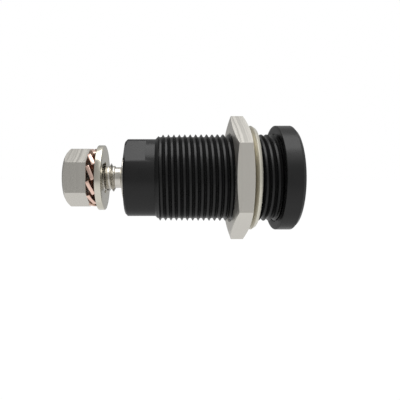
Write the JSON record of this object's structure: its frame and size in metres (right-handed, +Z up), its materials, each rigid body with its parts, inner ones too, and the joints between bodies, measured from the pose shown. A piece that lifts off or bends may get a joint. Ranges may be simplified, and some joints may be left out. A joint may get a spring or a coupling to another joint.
{
  "type": "banana socket",
  "caption": "Panel-mount 4 mm safety banana socket: black threaded body with a round flange, hexagon panel nut and conical washer, and a threaded terminal stud with nut, lock washer and flat washer.",
  "frame": {"origin": "centre of the flange's rear face, the face that seats on the front of the panel", "axes": "+X along the socket's axis, out of the plug mouth; +Z up, through a corner of the panel nut; +Y completes the right-handed frame"},
  "size_m": [0.0312, 0.015, 0.0172],
  "materials": {
    "black_plastic": "satin moulded",
    "nickel_contact": "nickel plated, turned",
    "nickel_nut": "nickel plated",
    "nickel_washer": "nickel plated",
    "bronze": "bright phosphor bronze"
  },
  "bodies": {
    "socket": {"insulating_body": "black_plastic", "contact": "nickel_contact"},
    "panel_washer": {"panel_washer": "nickel_washer"},
    "panel_nut": {"panel_nut": "nickel_nut"},
    "terminal_washers": {"flat_washer": "nickel_washer", "tooth_lock_washer": "bronze"},
    "terminal_nut": {"terminal_nut": "nickel_nut"}
  },
  "joints": [
    {"name": "panel_washer_slide", "type": "slide", "parent": "socket", "child": "panel_washer", "axis": [1, 0, 0], "range_m": [-0.012, 0.00285]},
    {"name": "panel_nut_turn", "type": "hinge", "parent": "panel_washer", "child": "panel_nut", "pos_m": [0, 0, 0], "axis": [1, 0, 0], "range_deg": [-5761, 1369]},
    {"name": "terminal_washer_slide", "type": "slide", "parent": "socket", "child": "terminal_washers", "axis": [1, 0, 0], "range_m": [-0.00245, 0.00245]},
    {"name": "terminal_nut_turn", "type": "hinge", "parent": "terminal_washers", "child": "terminal_nut", "pos_m": [0, 0, 0], "axis": [1, 0, 0], "range_deg": [-1261, 1258]}
  ],
  "couplings": [
    {"joint": "panel_nut_turn", "follows": "panel_washer_slide", "rad_per_m": 8377.6},
    {"joint": "terminal_nut_turn", "follows": "terminal_washer_slide", "rad_per_m": 8976}
  ]
}
